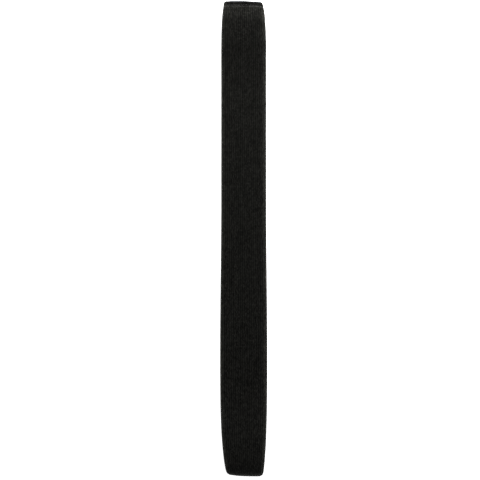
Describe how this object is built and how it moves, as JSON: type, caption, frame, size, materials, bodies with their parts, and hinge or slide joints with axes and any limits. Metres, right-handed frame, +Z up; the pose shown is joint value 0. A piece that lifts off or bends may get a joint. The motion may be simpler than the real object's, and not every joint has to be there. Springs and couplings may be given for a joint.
{
  "type": "sports headband",
  "caption": "Closed elastic loop of padded ribbed stretch knit, lying flat in two leaves, worn round the head to hold hair back and take sweat.",
  "frame": {"origin": "middle of the band's footprint, on the surface that it lies on", "axes": "+Y along the band, towards the fold that holds the join; +X across it; +Z up"},
  "size_m": [0.023, 0.2366, 0.0106],
  "materials": {
    "shell_knit": "matt black ribbed stretch knit",
    "lining_knit": "matt black wicking knit",
    "elastic_web": "knitted elastic",
    "sewing_thread": "black polyester thread",
    "tape_weave": "soft black twill tape",
    "silicone_grip": "satin black silicone"
  },
  "bodies": {
    "root": {"outer_shell": "shell_knit", "elastic_core": "elastic_web", "inner_lining": "lining_knit", "hem_stitching_left": "sewing_thread", "hem_stitching_right": "sewing_thread", "grip_strip_left": "silicone_grip", "grip_strip_centre": "silicone_grip", "grip_strip_right": "silicone_grip", "join_thread": "sewing_thread", "seam_tape": "tape_weave", "tape_stitching_front": "sewing_thread", "tape_stitching_back": "sewing_thread"}
  },
  "joints": []
}
